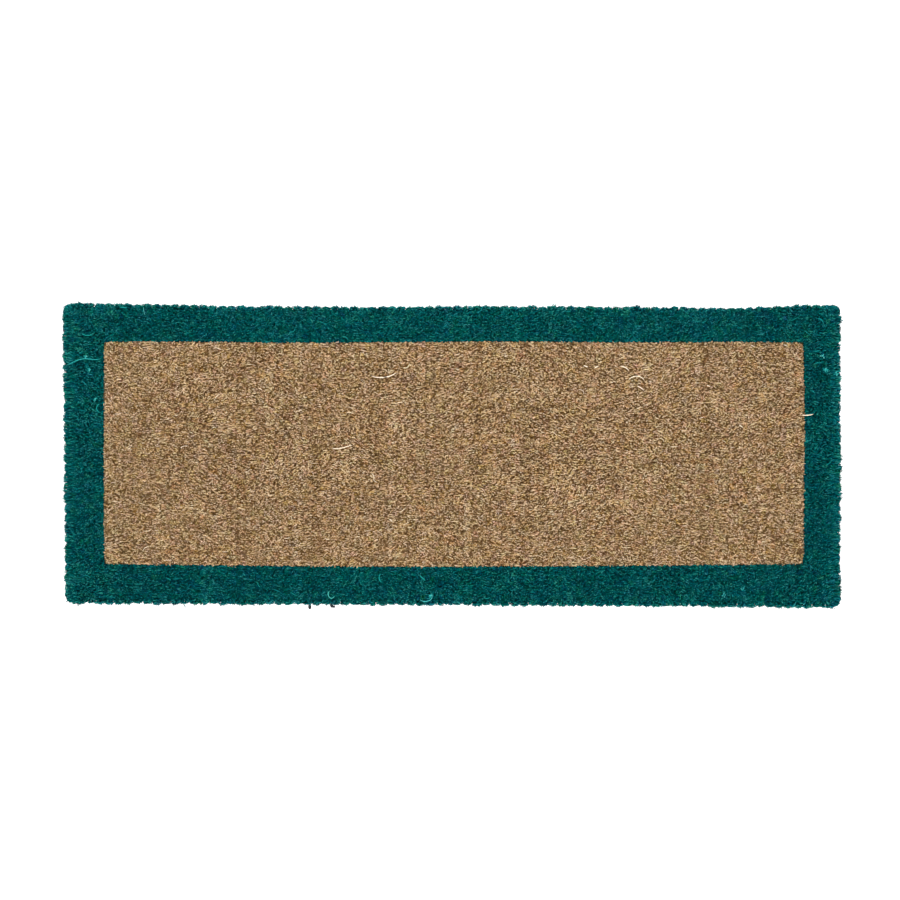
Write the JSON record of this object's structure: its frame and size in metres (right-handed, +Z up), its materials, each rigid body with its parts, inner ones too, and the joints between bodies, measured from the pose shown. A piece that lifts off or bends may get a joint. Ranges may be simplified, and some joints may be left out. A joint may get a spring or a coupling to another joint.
{
  "type": "door mat",
  "caption": "Handloom-woven coir door mat: a natural tan brush field inside a dyed teal border, on a woven yarn ground with plaited, sewn edges",
  "frame": {"origin": "on the floor, under the middle of the mat", "axes": "X runs along the mat's length, Y runs across it towards the back edge, Z points up out of the brush"},
  "size_m": [1.19, 0.457, 0.034],
  "materials": {
    "natural_coir": "matte",
    "dyed_coir": "matte",
    "ground_yarn": "matte",
    "edge_braid": "matte",
    "sewing_twine": "matte"
  },
  "bodies": {
    "root": {"field_pile": "natural_coir", "border_pile_left": "dyed_coir", "border_pile_right": "dyed_coir", "border_pile_front": "dyed_coir", "border_pile_back": "dyed_coir", "warp_chain_01": "ground_yarn", "warp_chain_02": "ground_yarn", "warp_chain_03": "ground_yarn", "warp_chain_04": "ground_yarn", "warp_chain_05": "ground_yarn", "warp_chain_06": "ground_yarn", "warp_chain_07": "ground_yarn", "warp_chain_08": "ground_yarn", "warp_chain_09": "ground_yarn", "warp_chain_10": "ground_yarn", "warp_chain_11": "ground_yarn", "warp_chain_12": "ground_yarn", "warp_chain_13": "ground_yarn", "warp_chain_14": "ground_yarn", "warp_chain_15": "ground_yarn", "warp_chain_16": "ground_yarn", "warp_chain_17": "ground_yarn", "warp_chain_18": "ground_yarn", "warp_chain_19": "ground_yarn", "warp_chain_20": "ground_yarn", "warp_chain_21": "ground_yarn", "warp_chain_22": "ground_yarn", "warp_chain_23": "ground_yarn", "warp_chain_24": "ground_yarn", "warp_chain_25": "ground_yarn", "warp_chain_26": "ground_yarn", "warp_chain_27": "ground_yarn", "warp_chain_28": "ground_yarn", "weft_yarn": "ground_yarn", "edge_braid_left": "edge_braid", "edge_braid_right": "edge_braid", "edge_braid_front": "edge_braid", "edge_braid_back": "edge_braid", "edge_seam_left": "sewing_twine", "edge_seam_right": "sewing_twine", "edge_seam_front": "sewing_twine", "edge_seam_back": "sewing_twine"}
  },
  "joints": []
}
